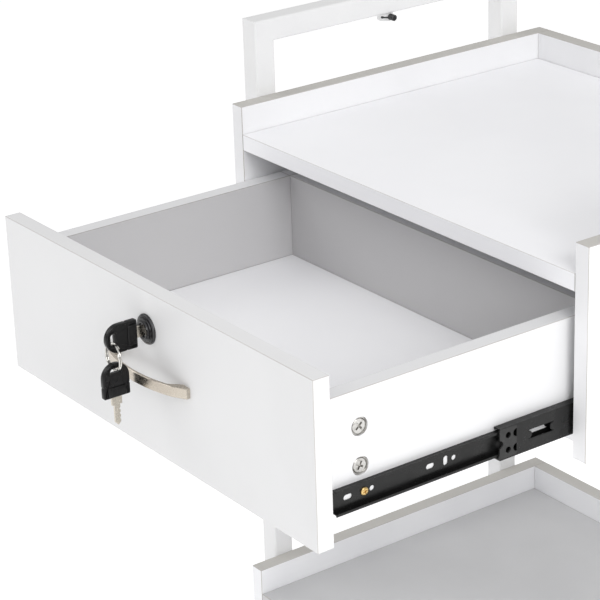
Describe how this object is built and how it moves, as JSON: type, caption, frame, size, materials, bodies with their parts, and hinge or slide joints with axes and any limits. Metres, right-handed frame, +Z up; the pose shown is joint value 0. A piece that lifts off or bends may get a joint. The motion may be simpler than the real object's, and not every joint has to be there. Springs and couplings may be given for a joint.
{
  "type": "manicure table",
  "caption": "White salon trolley table with a locking drawer on ball-bearing slides, rimmed top, lower tray, square-tube side frames and casters.",
  "frame": {"origin": "on the floor, under the middle of the table with its drawer open", "axes": "+Z up, -Y is the drawer front, +X to the right of someone facing the drawer from outside"},
  "size_m": [0.52, 0.6678, 0.685],
  "materials": {
    "white_tube": "white powder coat",
    "white_board": "white melamine-faced board, satin",
    "black_slide_steel": "black electro-coated steel",
    "black_plastic": "black moulded plastic",
    "black_lock_metal": "gloss black die casting",
    "nickel": "nickel plated",
    "satin_nickel": "satin nickel",
    "zinc": "bright zinc",
    "yellow_zinc_screw": "yellow zinc plated",
    "caster_steel": "zinc plated pressing",
    "caster_wheel": "dark grey moulded wheel"
  },
  "bodies": {
    "frame": {"left_front_upright": "white_tube", "left_rear_upright": "white_tube", "left_top_rail": "white_tube", "left_bottom_rail": "white_tube", "right_front_upright": "white_tube", "right_rear_upright": "white_tube", "right_top_rail": "white_tube", "right_bottom_rail": "white_tube", "cabinet_left_side": "white_board", "cabinet_right_side": "white_board", "cabinet_back": "white_board", "cabinet_bottom": "white_board", "top_shelf": "white_board", "tray_floor": "white_board", "tray_back_rim": "white_board", "tray_left_rim": "white_board", "tray_right_rim": "white_board", "frame_screws": "zinc", "lamp_socket": "white_tube", "slide_cabinet_members": "black_slide_steel", "cabinet_wood_screws": "yellow_zinc_screw", "caster_stems": "zinc"},
    "drawer": {"drawer_front": "white_board", "drawer_left_side": "white_board", "drawer_right_side": "white_board", "drawer_back": "white_board", "drawer_bottom": "white_board", "drawer_cam_locks": "zinc", "drawer_cam_bolts": "zinc", "handle": "satin_nickel", "handle_screws": "zinc", "lock_barrel": "black_lock_metal", "lock_nut": "zinc", "lock_escutcheon": "black_lock_metal", "slide_drawer_members": "black_slide_steel", "drawer_wood_screws": "yellow_zinc_screw"},
    "slide_middles": {"slide_middle_members": "black_slide_steel", "slide_retainers": "black_plastic"},
    "outer_cages": {"outer_ball_cages": "zinc"},
    "inner_cages": {"inner_ball_cages": "zinc"},
    "lock_plug": {"lock_plug": "nickel", "lock_tongue": "zinc"},
    "key": {"key_head": "black_plastic", "key_blade": "nickel"},
    "key_ring": {"key_ring": "nickel"},
    "spare_key": {"spare_key_head": "black_plastic", "spare_key_blade": "nickel"},
    "lamp_clamp_screw": {"lamp_clamp_screw": "black_plastic"},
    "front_left_fork": {"front_left_caster_fork": "caster_steel", "front_left_caster_axle": "caster_steel"},
    "front_left_wheel": {"front_left_caster_wheel": "caster_wheel"},
    "front_right_fork": {"front_right_caster_fork": "caster_steel", "front_right_caster_axle": "caster_steel"},
    "front_right_wheel": {"front_right_caster_wheel": "caster_wheel"},
    "rear_left_fork": {"rear_left_caster_fork": "caster_steel", "rear_left_caster_axle": "caster_steel"},
    "rear_left_wheel": {"rear_left_caster_wheel": "caster_wheel"},
    "rear_right_fork": {"rear_right_caster_fork": "caster_steel", "rear_right_caster_axle": "caster_steel"},
    "rear_right_wheel": {"rear_right_caster_wheel": "caster_wheel"}
  },
  "joints": [
    {"name": "drawer_slide", "type": "slide", "parent": "frame", "child": "drawer", "axis": [0, -1, 0], "range_m": [-0.248, 0]},
    {"name": "slide_middle_travel", "type": "slide", "parent": "frame", "child": "slide_middles", "axis": [0, -1, 0], "range_m": [-0.0921, 0.0001]},
    {"name": "outer_cage_travel", "type": "slide", "parent": "frame", "child": "outer_cages", "axis": [0, -1, 0], "range_m": [-0.0461, 0.0001]},
    {"name": "inner_cage_travel", "type": "slide", "parent": "frame", "child": "inner_cages", "axis": [0, -1, 0], "range_m": [-0.1701, 0.0001]},
    {"name": "lock_turn", "type": "hinge", "parent": "drawer", "child": "lock_plug", "pos_m": [0, -0.2901, 0.5402], "axis": [0, 1, 0], "range_deg": [0, 90]},
    {"name": "key_pull", "type": "slide", "parent": "lock_plug", "child": "key", "axis": [0, -1, 0], "range_m": [0, 0.02]},
    {"name": "ring_swing", "type": "hinge", "parent": "key", "child": "key_ring", "pos_m": [0, -0.3219, 0.5363], "axis": [1, 0, 0], "range_deg": [-25, 1]},
    {"name": "spare_key_swing", "type": "hinge", "parent": "key_ring", "child": "spare_key", "pos_m": [0, -0.3219, 0.5147], "axis": [1, 0, 0], "range_deg": [-30, 3]},
    {"name": "lamp_clamp_turn", "type": "hinge", "parent": "frame", "child": "lamp_clamp_screw", "pos_m": [-0.246, 0.1429, 0.66], "axis": [1, 0, 0], "range_deg": [-180, 180]},
    {"name": "front_left_swivel", "type": "hinge", "parent": "frame", "child": "front_left_fork", "pos_m": [-0.246, -0.0031, 0.06], "axis": [0, 0, 1], "continuous": true},
    {"name": "front_left_roll", "type": "hinge", "parent": "front_left_fork", "child": "front_left_wheel", "pos_m": [-0.246, 0.0169, 0.025], "axis": [1, 0, 0], "continuous": true},
    {"name": "front_right_swivel", "type": "hinge", "parent": "frame", "child": "front_right_fork", "pos_m": [0.246, -0.0031, 0.06], "axis": [0, 0, 1], "continuous": true},
    {"name": "front_right_roll", "type": "hinge", "parent": "front_right_fork", "child": "front_right_wheel", "pos_m": [0.246, 0.0169, 0.025], "axis": [1, 0, 0], "continuous": true},
    {"name": "rear_left_swivel", "type": "hinge", "parent": "frame", "child": "rear_left_fork", "pos_m": [-0.246, 0.2889, 0.06], "axis": [0, 0, 1], "continuous": true},
    {"name": "rear_left_roll", "type": "hinge", "parent": "rear_left_fork", "child": "rear_left_wheel", "pos_m": [-0.246, 0.3089, 0.025], "axis": [1, 0, 0], "continuous": true},
    {"name": "rear_right_swivel", "type": "hinge", "parent": "frame", "child": "rear_right_fork", "pos_m": [0.246, 0.2889, 0.06], "axis": [0, 0, 1], "continuous": true},
    {"name": "rear_right_roll", "type": "hinge", "parent": "rear_right_fork", "child": "rear_right_wheel", "pos_m": [0.246, 0.3089, 0.025], "axis": [1, 0, 0], "continuous": true}
  ],
  "couplings": [
    {"joint": "slide_middle_travel", "follows": "drawer_slide", "ratio": 0.37097},
    {"joint": "outer_cage_travel", "follows": "drawer_slide", "ratio": 0.18548},
    {"joint": "inner_cage_travel", "follows": "drawer_slide", "ratio": 0.68548}
  ]
}
